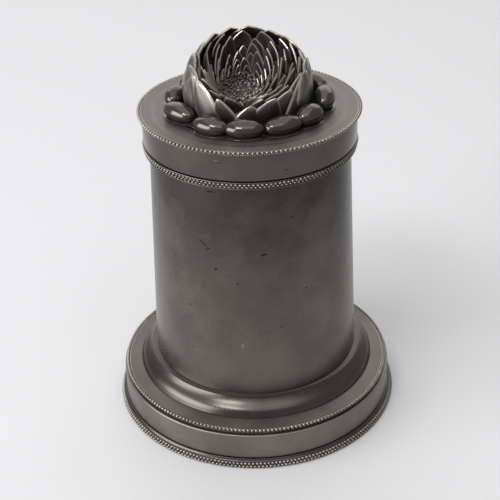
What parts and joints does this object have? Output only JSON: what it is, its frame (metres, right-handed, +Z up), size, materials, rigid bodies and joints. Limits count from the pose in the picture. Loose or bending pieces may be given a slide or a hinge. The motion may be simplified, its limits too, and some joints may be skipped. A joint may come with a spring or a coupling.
{
  "type": "lidded column mould",
  "caption": "Tall round pewter mould with a stepped base cap, a body that widens downwards, beaded rims, and a lid topped by a domed flower in a ring of fruit.",
  "frame": {"origin": "centre of the foot, on the surface that the mould stands on", "axes": "+Z up along the mould's axis; the flower's open cup is tipped forwards, towards -Y"},
  "size_m": [0.1426, 0.1426, 0.1889],
  "materials": {
    "turned_pewter": "satin, with fine turning lines",
    "worn_pewter": "satin, rubbed lighter",
    "beaded_pewter": "polished tops, dark grooves",
    "dark_pewter": "smooth and dark",
    "cast_pewter": "cast relief, smooth and shiny on high spots"
  },
  "bodies": {
    "base": {"base_plate": "turned_pewter", "base_band": "worn_pewter", "foot_ring": "turned_pewter", "foot_bead_rim": "beaded_pewter"},
    "body": {"body_tube": "turned_pewter", "collar_ring": "turned_pewter", "collar_bead_row": "beaded_pewter", "shoulder_moulding": "dark_pewter", "shoulder_flange": "turned_pewter", "flange_bead_rim": "beaded_pewter", "base_spigot": "turned_pewter"},
    "lid": {"lid_skirt": "turned_pewter", "lid_plate": "turned_pewter", "lid_bead_rim": "beaded_pewter", "fruit_ring": "cast_pewter", "flower_dome": "cast_pewter"}
  },
  "joints": [
    {"name": "body_lift", "type": "slide", "parent": "base", "child": "body", "axis": [0, 0, 1], "range_m": [0, 0.05]},
    {"name": "lid_lift", "type": "slide", "parent": "body", "child": "lid", "axis": [0, 0, 1], "range_m": [0, 0.06]}
  ]
}
